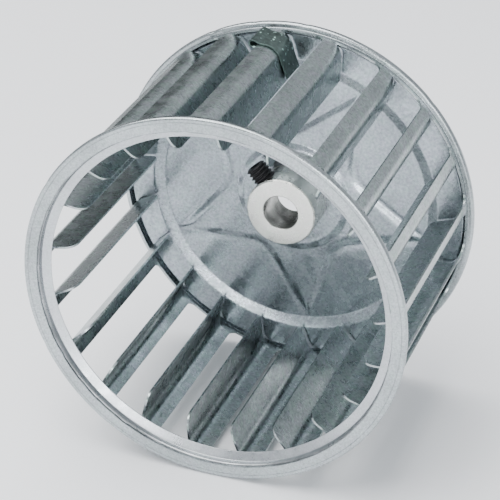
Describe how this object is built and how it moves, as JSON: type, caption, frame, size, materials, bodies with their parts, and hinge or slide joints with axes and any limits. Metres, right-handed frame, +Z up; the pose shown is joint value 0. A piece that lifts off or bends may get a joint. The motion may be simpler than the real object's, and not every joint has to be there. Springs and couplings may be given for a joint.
{
  "type": "blower wheel",
  "caption": "Galvanised forward-curved blower wheel with open inlet ring, star-pressed back disc, bored hub, set screw and balance clip.",
  "frame": {"origin": "centre of the wheel: on its axis, midway between the front and back rims", "axes": "+Y along the wheel axis from the open inlet towards the back disc, +Z up, +X to the right as seen from the inlet"},
  "size_m": [0.1324, 0.0844, 0.1324],
  "materials": {
    "galvanised_strip": "satin mottled galvanised sheet",
    "galvanised_ring": "satin galvanised sheet, spun smooth at the rim",
    "galvanised_disc": "satin galvanised pressed sheet",
    "plated_hub": "turned and bright zinc plated",
    "black_oxide": "black oxide",
    "spring_clip": "dark phosphated spring steel"
  },
  "bodies": {
    "wheel": {"inlet_ring": "galvanised_ring", "front_band": "galvanised_strip", "rear_band": "galvanised_strip", "blade_01": "galvanised_strip", "blade_02": "galvanised_strip", "blade_03": "galvanised_strip", "blade_04": "galvanised_strip", "blade_05": "galvanised_strip", "blade_06": "galvanised_strip", "blade_07": "galvanised_strip", "blade_08": "galvanised_strip", "blade_09": "galvanised_strip", "blade_10": "galvanised_strip", "blade_11": "galvanised_strip", "blade_12": "galvanised_strip", "blade_13": "galvanised_strip", "blade_14": "galvanised_strip", "blade_15": "galvanised_strip", "blade_16": "galvanised_strip", "blade_17": "galvanised_strip", "blade_18": "galvanised_strip", "blade_19": "galvanised_strip", "blade_20": "galvanised_strip", "blade_21": "galvanised_strip", "back_disc": "galvanised_disc", "hub": "plated_hub", "balance_clip": "spring_clip"},
    "set_screw": {"set_screw": "black_oxide"}
  },
  "joints": [
    {"name": "set_screw_travel", "type": "slide", "parent": "wheel", "child": "set_screw", "axis": [-0.6293, 0, 0.7771], "range_m": [-0.0023, 0.003]}
  ]
}
